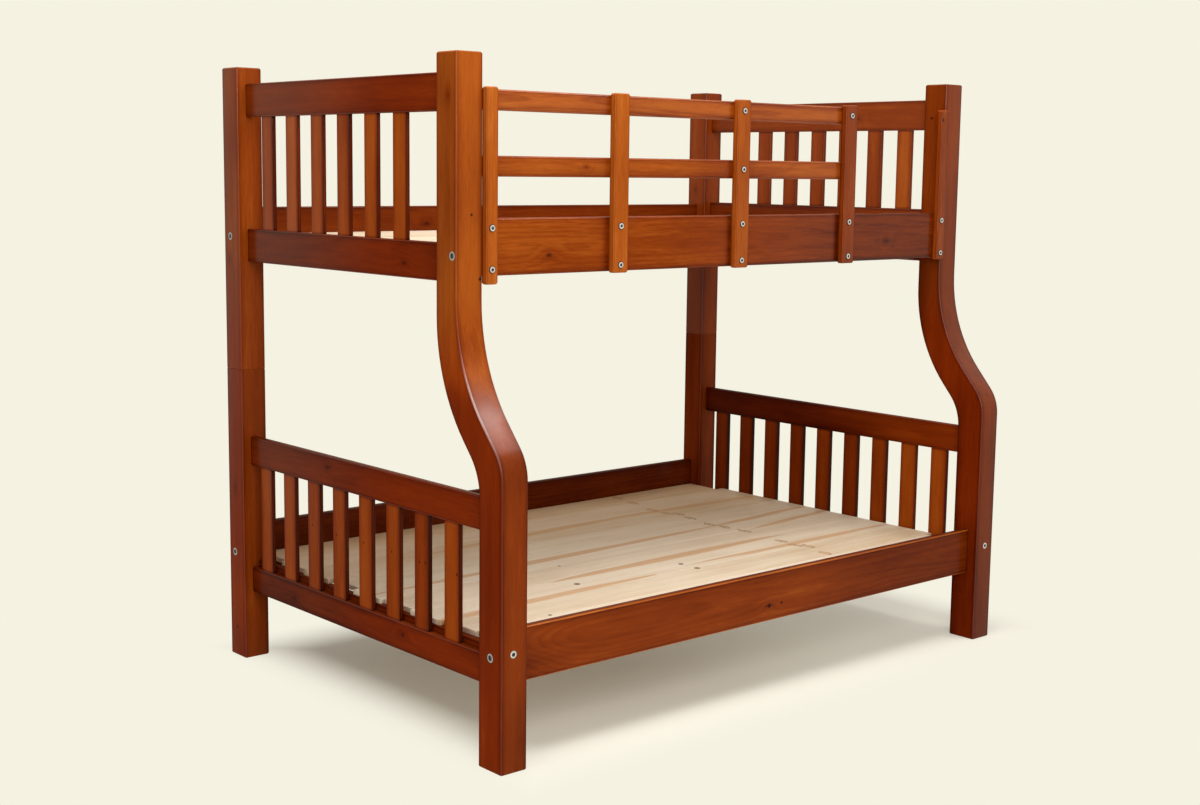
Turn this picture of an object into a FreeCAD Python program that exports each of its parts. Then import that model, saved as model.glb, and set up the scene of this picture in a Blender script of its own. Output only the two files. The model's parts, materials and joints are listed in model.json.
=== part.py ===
import FreeCAD, Part
import math
import os

# Bunk bed with a wide lower bunk and a narrower upper bunk.
# The two front posts are one piece each and step back in an S-curve between the bunks.
# X runs along the bed, Y runs from the front to the back, Z is up.
# The origin is on the floor, in the middle of the bed's outer box. Lengths are in millimetres.

# Overall frame
bed_length = 2000.0
bed_depth = 1360.0
upper_step = 190.0
post_height = 1772.0

# Posts
post_width = 82.0
rear_post_depth = 88.0
leg_depth = 95.0
upper_leg_depth = 86.0
rear_joint_height = 884.0
rear_joint_chamfer = 1.5
post_arris = 4.0
post_top_chamfer = 4.0
foot_chamfer = 3.0

# S-curve of the front posts, one set of radii for each face
leg_lean_deg = 41.0
front_bend_height = 730.0
front_lower_radius = 125.0
front_upper_radius = 450.0
back_bend_height = 684.0
back_lower_radius = 150.0
back_upper_radius = 465.0

# Rails of the two ends
end_rail_inset = 29.0
end_rail_thickness = 22.0
end_rail_arris = 3.5
lower_end_bottom = 204.0
lower_end_bottom_height = 78.0
lower_end_top = 682.0
lower_end_top_height = 87.0
upper_end_bottom = 1206.0
upper_end_bottom_height = 97.0
upper_end_top = 1725.0
upper_end_top_height = 96.0
deep_end_rail_height = 168.0
end_tenon_length = 25.0

# Slats of the two ends
lower_slat_width = 64.0
upper_slat_width = 60.0
slat_thickness = 14.0
slat_arris = 2.0
slat_socket = 12.0

# Each row of slats: how many, and its first and last gap to the posts
left_lower_slats = 8
left_lower_front_gap = 127.0
left_lower_rear_gap = 48.0
right_lower_slats = 9
right_lower_front_gap = 64.0
right_lower_rear_gap = 50.0
left_upper_slats = 6
left_upper_front_gap = 179.0
left_upper_rear_gap = 82.0
right_upper_slats = 7
right_upper_front_gap = 75.0
right_upper_rear_gap = 106.0

# Side rails
side_rail_arris = 4.0
lower_rail_thickness = 24.0
lower_rail_setback = 35.0
lower_front_bottom = 216.0
lower_front_height = 141.0
lower_rear_bottom = 240.0
lower_rear_height = 165.0
rear_rail_setback = 20.0
upper_rail_thickness = 28.0
upper_rail_setback = 4.0
upper_rail_bottom = 1222.0
upper_rail_height = 144.0
side_tenon_length = 42.0
tenon_shoulder = 4.0
tenon_edge_shoulder = 14.0

# Guard on the front of the upper bunk
guard_post_thickness = 18.0
guard_post_width = 53.0
end_guard_post_width = 37.0
guard_post_gap = 0.3
guard_post_corner = 4.5
guard_post_arris = 2.0
guard_post_overhang = 4.0
first_guard_post_overhang = 20.0
guard_first_bay = 428.5
guard_bay = 460.0
guard_rail_height = 52.0
guard_rail_thickness = 20.0
guard_top_rail_top = 1684.0
guard_middle_rail_top = 1521.0
guard_post_rise = 5.0
guard_rail_gap = 2.0
guard_arris = 4.0

# Slatted decks, with boards along the bed on cross battens
board_thickness = 14.0
board_gap = 1.0
board_side_gap = 3.0
board_end_gap = 4.0
board_end_scatter = 24.0
lower_board_count = 9
upper_board_count = 8
lower_deck_top = 312.0
upper_deck_top = 1287.0
batten_width = 45.0
batten_height = 25.0
batten_count = 4
batten_reach_share = 0.508
cleat_size = 25.0
cleat_gap = 2.0
end_cleat_thickness = 24.0
end_cleat_height = 60.0
left_end_shares = (0.0, 0.75, 0.2, 0.6, 0.1, 0.95, 0.35, 0.7, 0.0)
back_edge_depth = 9.0
back_edge_shares = (0.0, 0.25, 0.1, 0.7, 0.45, 1.0, 0.6, 0.15, 0.0)

# Bed bolts with their barrel nuts, and the cross bolts of the lower front rail
bolt_diameter = 8.0
bed_bolt_head_diameter = 25.0
cross_bolt_head_diameter = 21.0
bolt_head_thickness = 3.0
bolt_head_recess = 3.4
hex_sides = 6
hex_socket_corners = 7.0
hex_socket_depth = 2.2
barrel_diameter = 12.0
barrel_length = 20.0
barrel_distance = 45.0
bolt_past_barrel = 8.0
upper_front_bolt_drop = 20.0
upper_rear_bolt_drop = 14.0
lower_front_bolt_height = 291.0
cross_bolt_height = 304.0
cross_bolt_inset = 38.0
insert_diameter = 12.0
insert_length = 13.0
insert_end = 66.0

# Flat sides of each bolt, nut, dowel and bore
round_sides = 12

# Bolts of the guard, each in a threaded insert let into the back of the timber
guard_bolt_diameter = 6.0
guard_bolt_head_diameter = 17.0
guard_bolt_head_thickness = 2.4
guard_insert_diameter = 10.0
guard_insert_length = 13.0
guard_bolt_from_top = 24.0
guard_bolt_from_bottom = 17.0

# Dowel in the joint of each rear post
post_dowel_diameter = 25.0
post_dowel_length = 130.0

# Fits
fit = 0.2
overrun = 10.0

# Places worked out from the sizes
half_length = bed_length / 2
inner_x = half_length - post_width
front_y = -bed_depth / 2
upper_front_y = front_y + upper_step
rear_y = bed_depth / 2
rear_post_y = rear_y - rear_post_depth
leg_back_y = front_y + leg_depth
upper_leg_back_y = upper_front_y + upper_leg_depth
end_rail_x = half_length - end_rail_inset
end_rail_inner_x = end_rail_x - end_rail_thickness
lower_front_rail_y = front_y + lower_rail_setback
lower_rear_rail_y = rear_y - rear_rail_setback - lower_rail_thickness
upper_front_rail_y = upper_front_y + upper_rail_setback
upper_rear_rail_y = rear_y - rear_rail_setback - upper_rail_thickness
guard_post_y = upper_front_rail_y - guard_post_thickness
guard_post_top = guard_top_rail_top + guard_post_rise
upper_rail_top = upper_rail_bottom + upper_rail_height

parts = {}
drillings = []


def vec(x, y, z):
    return FreeCAD.Vector(x, y, z)


def block(x0, x1, y0, y1, z0, z1):
    """A box between two corners."""
    return Part.makeBox(x1 - x0, y1 - y0, z1 - z0, vec(x0, y0, z0))


def runs_along(edge, axis):
    """True where a straight edge lies along the axis 0, 1 or 2."""
    box = edge.BoundBox
    spans = [box.XLength, box.YLength, box.ZLength]
    return spans[axis] > sum(spans) - spans[axis]


def eased_bar(x0, x1, y0, y1, z0, z1, axis, arris):
    """A box whose four edges along one axis are chamfered."""
    bar = block(x0, x1, y0, y1, z0, z1)
    return bar.makeChamfer(arris, [e for e in bar.Edges if runs_along(e, axis)])


def prism(start, direction, sides, diameter, length):
    """A straight prism along X, Y or Z whose corners lie on a circle of the given diameter."""
    across = vec(direction.y, direction.z, direction.x)
    aside = direction.cross(across)
    points = []
    for step in range(sides + 1):
        turn = 2 * math.pi * step / sides
        points.append(start + (across * math.cos(turn) + aside * math.sin(turn)) * (diameter / 2))
    return Part.Face(Part.makePolygon(points)).extrude(direction * length)


def rod(start, direction, diameter, length):
    """A round bar or bore, drawn with a few flat sides."""
    return prism(start, direction, round_sides, diameter, length)


def mirrored(shape):
    """The same shape at the other end of the bed."""
    return shape.mirror(vec(0, 0, 0), vec(1, 0, 0))


def solids_of(shapes):
    return Part.makeCompound([s for shape in shapes for s in shape.Solids])


def drill(shape):
    """Remember a hole that every piece of timber it meets is bored for."""
    drillings.append(shape)


def s_curve(low_y, high_y, bend_height, low_radius, high_radius):
    """The face line of a front post from its lower bend to its upper one.

    Two arcs that are tangent to the upright faces are joined by a straight lean."""
    lean = math.radians(leg_lean_deg)
    low_end_y = low_y + low_radius * (1 - math.cos(lean))
    low_end_z = bend_height + low_radius * math.sin(lean)
    high_start_y = high_y - high_radius * (1 - math.cos(lean))
    high_start_z = low_end_z + (high_start_y - low_end_y) / math.tan(lean)
    high_end_z = high_start_z + high_radius * math.sin(lean)
    half = lean / 2
    low_mid = vec(0, low_y + low_radius * (1 - math.cos(half)), bend_height + low_radius * math.sin(half))
    high_mid = vec(0, high_y - high_radius * (1 - math.cos(half)), high_end_z - high_radius * math.sin(half))
    points = [vec(0, low_y, bend_height), vec(0, low_end_y, low_end_z)]
    points += [vec(0, high_start_y, high_start_z), vec(0, high_y, high_end_z)]
    edges = [Part.Arc(points[0], low_mid, points[1]).toShape()]
    edges.append(Part.LineSegment(points[1], points[2]).toShape())
    edges.append(Part.Arc(points[2], high_mid, points[3]).toShape())
    return edges, points[0], points[3]


def curved_post():
    """The left front post: an S-shaped side view carried through its width."""
    front, front_low, front_high = s_curve(front_y, upper_front_y, front_bend_height,
                                           front_lower_radius, front_upper_radius)
    back, back_low, back_high = s_curve(leg_back_y, upper_leg_back_y, back_bend_height,
                                        back_lower_radius, back_upper_radius)
    top_front = vec(0, upper_front_y, post_height)
    top_back = vec(0, upper_leg_back_y, post_height)
    foot_front = vec(0, front_y, 0)
    foot_back = vec(0, leg_back_y, 0)
    edges = [Part.LineSegment(foot_front, front_low).toShape()] + front
    edges.append(Part.LineSegment(front_high, top_front).toShape())
    edges.append(Part.LineSegment(top_front, top_back).toShape())
    edges.append(Part.LineSegment(top_back, back_high).toShape())
    edges += back
    edges.append(Part.LineSegment(back_low, foot_back).toShape())
    edges.append(Part.LineSegment(foot_back, foot_front).toShape())
    outline = Part.Wire(Part.__sortEdges__(edges))
    outline.translate(vec(-half_length, 0, 0))
    post = Part.Face(outline).extrude(vec(post_width, 0, 0))
    return eased_post(post)


def eased_post(post):
    """Chamfer the long arrises of a post and the edges round its top and its foot.

    A piece that ends at the joint of a rear post has the small chamfer of that joint there."""
    low = post.BoundBox.ZMin
    high = post.BoundBox.ZMax
    arrises = []
    for edge in post.Edges:
        box = edge.BoundBox
        if box.ZLength > 0 and box.XLength < fit:
            arrises.append(edge)
    post = post.makeChamfer(post_arris, arrises)
    top = [e for e in post.Edges if e.BoundBox.ZMin > high - fit]
    post = post.makeChamfer(post_top_chamfer if high > post_height - fit else rear_joint_chamfer, top)
    foot = [e for e in post.Edges if e.BoundBox.ZMax < low + fit]
    return post.makeChamfer(foot_chamfer if low < fit else rear_joint_chamfer, foot)


def rear_post(bottom, top):
    post = block(-half_length, -inner_x, rear_post_y, rear_y, bottom, top)
    return eased_post(post)


def end_rail(y0, bottom, height):
    """A rail of the left end with a tenon in the post at each of its ends."""
    x0 = -end_rail_x
    x1 = -end_rail_inner_x
    rail = eased_bar(x0, x1, y0, rear_post_y, bottom, bottom + height, 1, end_rail_arris)
    tenon = block(x0 + tenon_shoulder, x1 - tenon_shoulder, y0 - end_tenon_length,
                  rear_post_y + end_tenon_length, bottom + tenon_edge_shoulder,
                  bottom + height - tenon_edge_shoulder)
    return rail.fuse(tenon).removeSplitter(), socket(tenon)


def socket(tenon):
    """The mortise for a tenon or the end of a slat, a little larger on every side."""
    box = tenon.BoundBox
    return block(box.XMin - fit, box.XMax + fit, box.YMin - fit, box.YMax + fit,
                 box.ZMin - fit, box.ZMax + fit)


def side_rail(y0, thickness, bottom, height):
    """A rail along the bed with a tenon in the post at each of its ends."""
    rail = eased_bar(-inner_x, inner_x, y0, y0 + thickness, bottom, bottom + height, 0, side_rail_arris)
    reach = inner_x + side_tenon_length
    tenon = block(-reach, reach, y0 + tenon_shoulder, y0 + thickness - tenon_shoulder,
                  bottom + tenon_edge_shoulder, bottom + height - tenon_edge_shoulder)
    return rail.fuse(tenon).removeSplitter(), socket(tenon)


def end_slats(side, count, width, front_gap, rear_gap, leg_back, span):
    """Upright slats of one end, evenly spaced, let into the rail below and the rail above.

    side is -1 for the left end and 1 for the right one, and span is the clear height between the rails."""
    first = leg_back + front_gap
    last = rear_post_y - rear_gap - width
    depth = (end_rail_thickness - slat_thickness) / 2
    outer = side * (end_rail_x - depth)
    x0 = min(outer, outer - side * slat_thickness)
    slats = []
    for index in range(count):
        y0 = first + (last - first) * index / (count - 1)
        slats.append(eased_bar(x0, x0 + slat_thickness, y0, y0 + width,
                               span[0] - slat_socket, span[1] + slat_socket, 2, slat_arris))
    return slats


def cut_all(shape, tools):
    """Cut away every tool whose box meets the shape's box."""
    near = [tool for tool in tools if shape.BoundBox.intersect(tool.BoundBox)]
    return shape.cut(near) if near else shape


def bolt(face_point, direction, length, head_sunk, sizes):
    """A flat-headed bolt with a hexagon socket.

    face_point is where its axis meets the timber's face, and direction points into the timber.
    head_sunk is how far the seat of the head lies below that face."""
    diameter, head_diameter, head_thickness = sizes
    seat = face_point + direction * head_sunk
    top = seat - direction * head_thickness
    head = rod(top, direction, head_diameter, head_thickness)
    body = head.fuse(rod(seat, direction, diameter, length)).removeSplitter()
    return body.cut(prism(top, direction, hex_sides, hex_socket_corners, hex_socket_depth))


bed_bolt_sizes = (bolt_diameter, bed_bolt_head_diameter, bolt_head_thickness)
cross_bolt_sizes = (bolt_diameter, cross_bolt_head_diameter, bolt_head_thickness)
guard_bolt_sizes = (guard_bolt_diameter, guard_bolt_head_diameter, guard_bolt_head_thickness)


def drill_for_bolt(face_point, direction, length, head_sunk, sizes):
    """The clearance hole of a bolt, with the wider seat of its head."""
    diameter, head_diameter, head_thickness = sizes
    start = face_point - direction * overrun
    drill(rod(start, direction, diameter + 2 * fit, overrun + head_sunk + length + fit))
    if head_sunk > 0:
        drill(rod(start, direction, head_diameter + 2 * fit, overrun + head_sunk))


def side_rail_bolt(side, y, z, inner_face_y, inward):
    """A bed bolt through a post into a barrel nut in the rail.

    The barrel nut goes in from the rail's inner face, and inward is 1 where that face looks back."""
    direction = vec(-side, 0, 0)
    face_point = vec(side * half_length, y, z)
    length = post_width - bolt_head_recess + barrel_distance + bolt_past_barrel
    drill_for_bolt(face_point, direction, length, bolt_head_recess, bed_bolt_sizes)
    barrel_x = side * (inner_x - barrel_distance)
    barrel_start = vec(barrel_x, inner_face_y, z)
    into_rail = vec(0, -inward, 0)
    drill(rod(barrel_start + vec(0, inward * overrun, 0), into_rail, barrel_diameter + 2 * fit,
              overrun + barrel_length + fit))
    barrel = rod(barrel_start, into_rail, barrel_diameter, barrel_length)
    thread = rod(vec(side * inner_x, y, z), direction, bolt_diameter + 2 * fit, barrel_distance + overrun * 2)
    return bolt(face_point, direction, length, bolt_head_recess, bed_bolt_sizes), barrel.cut(thread)


def cross_bolt(side):
    """The bolt through the face of a front leg that locks the tenon of the lower front rail."""
    direction = vec(0, 1, 0)
    face_point = vec(side * (half_length - cross_bolt_inset), front_y, cross_bolt_height)
    length = insert_end - bolt_head_recess
    drill_for_bolt(face_point, direction, length, bolt_head_recess, cross_bolt_sizes)
    insert_start = face_point + direction * (insert_end - insert_length)
    drill(rod(insert_start - direction * fit, direction, insert_diameter + 2 * fit, insert_length + 2 * fit))
    insert = rod(insert_start, direction, insert_diameter, insert_length)
    insert = insert.cut(rod(insert_start - direction * overrun, direction, bolt_diameter + 2 * fit,
                            insert_length + 2 * overrun))
    return bolt(face_point, direction, length, bolt_head_recess, cross_bolt_sizes), insert


def guard_bolt(x, z, timber_thickness):
    """A bolt through a guard post into a threaded insert in the back of the timber behind it."""
    direction = vec(0, 1, 0)
    face_point = vec(x, guard_post_y, z)
    length = guard_post_thickness + timber_thickness
    drill_for_bolt(face_point, direction, length, 0, guard_bolt_sizes)
    insert_start = face_point + direction * (length - guard_insert_length)
    drill(rod(insert_start, direction, guard_insert_diameter + 2 * fit, guard_insert_length + overrun))
    insert = rod(insert_start, direction, guard_insert_diameter, guard_insert_length)
    hole = rod(face_point, direction, guard_bolt_diameter + 2 * fit, length + overrun)
    return bolt(face_point, direction, length, 0, guard_bolt_sizes), insert.cut(hole)


def build_posts():
    left = curved_post()
    parts["front_left_curved_post"] = left
    parts["front_right_curved_post"] = mirrored(left)
    lower = rear_post(0, rear_joint_height)
    upper = rear_post(rear_joint_height, post_height)
    parts["rear_left_lower_post"] = lower
    parts["rear_left_upper_post"] = upper
    parts["rear_right_lower_post"] = mirrored(lower)
    parts["rear_right_upper_post"] = mirrored(upper)
    start = vec(-half_length + post_width / 2, rear_y - rear_post_depth / 2,
                rear_joint_height - post_dowel_length / 2)
    up = vec(0, 0, 1)
    dowel = rod(start, up, post_dowel_diameter, post_dowel_length)
    bore = rod(start - up * fit, up, post_dowel_diameter + 2 * fit, post_dowel_length + 2 * fit)
    drill(bore)
    drill(mirrored(bore))
    parts["rear_post_dowels"] = solids_of([dowel, mirrored(dowel)])


def build_ends():
    """The rails and slats of both ends, with the mortises for them."""
    sockets = []
    upper_low_top = upper_end_bottom + upper_end_bottom_height
    deep_top = upper_end_bottom + deep_end_rail_height
    upper_high_bottom = upper_end_top - upper_end_top_height
    lower_span = (lower_end_bottom + lower_end_bottom_height, lower_end_top - lower_end_top_height)
    rails = {
        "lower_bottom_rail": (leg_back_y, lower_end_bottom, lower_end_bottom_height),
        "lower_top_rail": (leg_back_y, lower_span[1], lower_end_top_height),
        "upper_top_rail": (upper_leg_back_y, upper_high_bottom, upper_end_top_height),
    }
    for name, (start_y, bottom, height) in rails.items():
        rail, mortise = end_rail(start_y, bottom, height)
        parts["left_" + name] = rail
        parts["right_" + name] = mirrored(rail)
        sockets += [mortise, mirrored(mortise)]
    rail, mortise = end_rail(upper_leg_back_y, upper_end_bottom, upper_end_bottom_height)
    parts["left_upper_bottom_rail"] = rail
    sockets.append(mortise)
    rail, mortise = end_rail(upper_leg_back_y, upper_end_bottom, deep_end_rail_height)
    parts["right_upper_bottom_rail"] = mirrored(rail)
    sockets.append(mirrored(mortise))
    rows = {
        "left_lower_slats": (-1, left_lower_slats, lower_slat_width, left_lower_front_gap,
                             left_lower_rear_gap, leg_back_y, lower_span),
        "right_lower_slats": (1, right_lower_slats, lower_slat_width, right_lower_front_gap,
                              right_lower_rear_gap, leg_back_y, lower_span),
        "left_upper_slats": (-1, left_upper_slats, upper_slat_width, left_upper_front_gap,
                             left_upper_rear_gap, upper_leg_back_y, (upper_low_top, upper_high_bottom)),
        "right_upper_slats": (1, right_upper_slats, upper_slat_width, right_upper_front_gap,
                              right_upper_rear_gap, upper_leg_back_y, (deep_top, upper_high_bottom)),
    }
    slat_holes = []
    for name, row in rows.items():
        slats = end_slats(*row)
        slat_holes += [socket(slat) for slat in slats]
        parts[name] = solids_of(slats)
    for name in list(parts):
        if name.endswith("_post"):
            parts[name] = cut_all(parts[name], sockets)
        elif name.endswith("_rail"):
            parts[name] = cut_all(parts[name], slat_holes)


def build_side_rails():
    """The four rails along the bed, their bolts and the cleats that carry the decks."""
    lower_batten_bottom = lower_deck_top - board_thickness - batten_height
    upper_batten_bottom = upper_deck_top - board_thickness - batten_height
    upper_rail_middle = upper_rail_bottom + upper_rail_height / 2
    lower_rear_bolt_z = lower_rear_bottom + lower_rear_height / 2
    table = {
        "lower_front": (lower_front_rail_y, lower_rail_thickness, lower_front_bottom, lower_front_height,
                        lower_front_bolt_height, 1, lower_batten_bottom),
        "lower_rear": (lower_rear_rail_y, lower_rail_thickness, lower_rear_bottom, lower_rear_height,
                       lower_rear_bolt_z, -1, lower_batten_bottom),
        "upper_front": (upper_front_rail_y, upper_rail_thickness, upper_rail_bottom, upper_rail_height,
                        upper_rail_middle - upper_front_bolt_drop, 1, upper_batten_bottom),
        "upper_rear": (upper_rear_rail_y, upper_rail_thickness, upper_rail_bottom, upper_rail_height,
                       upper_rail_middle - upper_rear_bolt_drop, -1, upper_batten_bottom),
    }
    bolts = []
    barrels = []
    sockets = []
    for name, (y0, thickness, bottom, height, bolt_z, inward, cleat_top) in table.items():
        rail, mortise = side_rail(y0, thickness, bottom, height)
        parts[name + "_side_rail"] = rail
        sockets.append(mortise)
        inner_face = y0 + thickness if inward > 0 else y0
        for side in (-1, 1):
            one, barrel = side_rail_bolt(side, y0 + thickness / 2, bolt_z, inner_face, inward)
            bolts.append(one)
            barrels.append(barrel)
        cleat_y = inner_face if inward > 0 else inner_face - cleat_size
        reach = inner_x - cleat_gap
        parts[name + "_cleat"] = block(-reach, reach, cleat_y, cleat_y + cleat_size,
                                       cleat_top - cleat_size, cleat_top)
    for name in list(parts):
        if name.endswith("_post"):
            parts[name] = cut_all(parts[name], sockets)
    inserts = []
    cross_bolts = []
    for side in (-1, 1):
        one, insert = cross_bolt(side)
        cross_bolts.append(one)
        inserts.append(insert)
    parts["bed_bolts"] = solids_of(bolts)
    parts["barrel_nuts"] = solids_of(barrels)
    parts["cross_bolts"] = solids_of(cross_bolts)
    parts["insert_nuts"] = solids_of(inserts)


def guard_post_places():
    """The middle of each guard post along the bed, from left to right."""
    first = -inner_x + guard_post_gap + end_guard_post_width / 2
    second = first + guard_first_bay
    return [first, second, second + guard_bay, second + 2 * guard_bay, -first]


def guard_post(middle, width, overhang):
    """An upright board with its corners cut off and the edges of its face chamfered."""
    bottom = upper_rail_bottom - overhang
    post = block(middle - width / 2, middle + width / 2, guard_post_y, upper_front_rail_y, bottom,
                 guard_post_top)
    corners = [e for e in post.Edges if runs_along(e, 1)]
    post = post.makeChamfer(guard_post_corner, corners)
    face = [e for e in post.Edges if e.BoundBox.YMax < guard_post_y + fit]
    return post.makeChamfer(guard_post_arris, face)


def build_guard():
    places = guard_post_places()
    widths = [end_guard_post_width] + [guard_post_width] * 3 + [end_guard_post_width]
    for index, (middle, width) in enumerate(zip(places, widths)):
        overhang = first_guard_post_overhang if index == 0 else guard_post_overhang
        parts["guard_post_%d" % (index + 1)] = guard_post(middle, width, overhang)
    x0 = -inner_x + guard_rail_gap
    x1 = places[3] + guard_post_width / 2 - guard_post_arris
    y0 = upper_front_rail_y
    y1 = y0 + guard_rail_thickness
    for name, top in (("guard_top_rail", guard_top_rail_top), ("guard_middle_rail", guard_middle_rail_top)):
        parts[name] = eased_bar(x0, x1, y0, y1, top - guard_rail_height, top, 0, guard_arris)
    bolts = []
    inserts = []
    for place in places:
        for z in (upper_rail_top - guard_bolt_from_top, upper_rail_bottom + guard_bolt_from_bottom):
            one, insert = guard_bolt(place, z, upper_rail_thickness)
            bolts.append(one)
            inserts.append(insert)
    top_z = guard_top_rail_top - guard_rail_height / 2
    middle_z = guard_middle_rail_top - guard_rail_height / 2
    for place, z in ((places[2], top_z), (places[2], middle_z), (places[3], top_z)):
        one, insert = guard_bolt(place, z, guard_rail_thickness)
        bolts.append(one)
        inserts.append(insert)
    parts["guard_bolts"] = solids_of(bolts)
    parts["guard_inserts"] = solids_of(inserts)


def deck_boards(count, front_limit, back_limit, top, scatter):
    """Boards laid along the bed side by side.

    The two outer boards stop at the posts, and the others run on over the end cleats."""
    clear = back_limit - front_limit - 2 * board_side_gap
    width = (clear - (count - 1) * board_gap) / count
    boards = []
    for index in range(count):
        y0 = front_limit + board_side_gap + index * (width + board_gap)
        outer = index in (0, count - 1)
        reach = (inner_x if outer else end_rail_inner_x) - board_end_gap
        left = -reach + scatter * left_end_shares[index % len(left_end_shares)]
        boards.append(block(left, reach, y0, y0 + width, top - board_thickness, top))
    return boards


def waney_back_edge(board):
    """Cut the back edge of the last board of the lower deck to a natural, wavy line."""
    box = board.BoundBox
    last = len(back_edge_shares) - 1
    points = []
    for index, share in enumerate(back_edge_shares):
        x = box.XMin + index * box.XLength / last
        points.append(vec(x, box.YMax - share * back_edge_depth, box.ZMin))
    curve = Part.BSplineCurve()
    curve.interpolate(points)
    corner_front_right = vec(box.XMax, box.YMin, box.ZMin)
    corner_front_left = vec(box.XMin, box.YMin, box.ZMin)
    edges = [curve.toShape(), Part.makeLine(points[-1], corner_front_right)]
    edges.append(Part.makeLine(corner_front_right, corner_front_left))
    edges.append(Part.makeLine(corner_front_left, points[0]))
    return Part.Face(Part.Wire(edges)).extrude(vec(0, 0, board_thickness))


def deck_battens(front_limit, back_limit, top):
    """Battens across the bed under the boards, resting on the cleats of the side rails."""
    reach = inner_x * batten_reach_share
    battens = []
    for index in range(batten_count):
        x = -reach + index * 2 * reach / (batten_count - 1)
        battens.append(block(x - batten_width / 2, x + batten_width / 2, front_limit + board_side_gap,
                             back_limit - board_side_gap, top - board_thickness - batten_height,
                             top - board_thickness))
    return battens


def build_decks():
    lower_front = lower_front_rail_y + lower_rail_thickness
    upper_front = upper_front_rail_y + upper_rail_thickness
    boards = deck_boards(lower_board_count, lower_front, lower_rear_rail_y, lower_deck_top, board_end_scatter)
    boards[-1] = waney_back_edge(boards[-1])
    for index, board in enumerate(boards):
        parts["lower_deck_board_%d" % (index + 1)] = board
    parts["lower_deck_battens"] = solids_of(deck_battens(lower_front, lower_rear_rail_y, lower_deck_top))
    parts["upper_deck_boards"] = solids_of(deck_boards(upper_board_count, upper_front, upper_rear_rail_y,
                                                       upper_deck_top, 0))
    parts["upper_deck_battens"] = solids_of(deck_battens(upper_front, upper_rear_rail_y, upper_deck_top))
    for level, back_of_leg, deck_top in (("lower", leg_back_y, lower_deck_top),
                                         ("upper", upper_leg_back_y, upper_deck_top)):
        cleat_top = deck_top - board_thickness
        cleat = block(-end_rail_inner_x, -end_rail_inner_x + end_cleat_thickness, back_of_leg + cleat_gap,
                      rear_post_y - cleat_gap, cleat_top - end_cleat_height, cleat_top)
        parts["%s_left_end_cleat" % level] = cleat
        parts["%s_right_end_cleat" % level] = mirrored(cleat)


def bore_timber():
    """Bore the posts and rails for the bolts, nuts and dowels that pass through them."""
    for name, shape in parts.items():
        if name.endswith("_rail") or "_post" in name and name != "rear_post_dowels":
            parts[name] = cut_all(shape, drillings)


def write_parts():
    os.makedirs("parts", exist_ok=True)
    for name, shape in parts.items():
        shape.exportStep("parts/" + name + ".step")


build_posts()
build_ends()
build_side_rails()
build_guard()
build_decks()
bore_timber()
write_parts()
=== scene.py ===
"""Bunk bed in glossy red-brown stained pine with pale boarded decks.

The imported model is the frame. Each piece of timber is shown by a copy of its node whose corners are
merged, so that the light turns softly over its chamfers, and which carries its own grain. The bolts are
replaced by finer ones. Lengths are in metres, in the frame's axes: X along the bed, Y from the front to
the back, Z up.
"""
import json
import math

import bpy
import numpy as np
from mathutils import Matrix, Vector


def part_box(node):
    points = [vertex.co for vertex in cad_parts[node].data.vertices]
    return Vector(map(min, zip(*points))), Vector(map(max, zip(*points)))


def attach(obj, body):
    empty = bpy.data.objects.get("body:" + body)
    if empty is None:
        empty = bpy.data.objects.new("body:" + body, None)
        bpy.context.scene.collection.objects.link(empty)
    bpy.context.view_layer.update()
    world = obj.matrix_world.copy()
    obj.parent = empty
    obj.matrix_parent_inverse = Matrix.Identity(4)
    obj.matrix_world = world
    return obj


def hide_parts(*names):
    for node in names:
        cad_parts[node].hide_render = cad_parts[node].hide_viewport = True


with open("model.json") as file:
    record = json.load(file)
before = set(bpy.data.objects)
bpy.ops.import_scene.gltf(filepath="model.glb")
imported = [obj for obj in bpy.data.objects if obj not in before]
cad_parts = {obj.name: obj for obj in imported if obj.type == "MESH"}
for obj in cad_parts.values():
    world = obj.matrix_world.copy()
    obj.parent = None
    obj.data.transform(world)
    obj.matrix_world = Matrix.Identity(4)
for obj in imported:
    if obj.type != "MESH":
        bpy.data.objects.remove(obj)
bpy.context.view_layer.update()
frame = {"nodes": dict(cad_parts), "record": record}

MM = 0.001
NODES = frame["nodes"]
BODY_OF = {}
for body_name, members in frame["record"]["behaviour"]["bodies"].items():
    for member in members:
        BODY_OF[member] = body_name

# Camera, as worked out from the photograph's straight edges
IMAGE_WIDTH_PX = 1200.0
IMAGE_HEIGHT_PX = 805.0
SENSOR_WIDTH_MM = 36.0
FOCAL_LENGTH_PX = 1647.7
CENTRE_ROW_PX = 387.6
CAMERA_PLACE = Vector((-3.3920, -3.7771, 1.4911))
CAMERA_YAW_DEG = 41.086
CAMERA_PITCH_DEG = 7.556
CAMERA_ROLL_DEG = 0.724


def srgb(red, green, blue):
    """A colour given by its 0 to 255 display values, made linear."""
    values = []
    for level in (red, green, blue):
        share = level / 255
        values.append(share / 12.92 if share <= 0.04045 else ((share + 0.055) / 1.055) ** 2.4)
    return tuple(values)


BACKGROUND = srgb(245, 242, 226)
FLOOR = srgb(236, 231, 218)

# The stain from its darkest to its lightest, by place on the ramp
STAIN = ((0.0, srgb(34, 8, 1)), (0.22, srgb(80, 24, 2)), (0.42, srgb(120, 48, 7)),
         (0.6, srgb(155, 77, 20)), (0.78, srgb(186, 110, 48)), (1.0, srgb(216, 153, 94)))
STAIN_KNOT = srgb(36, 11, 4)
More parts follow.
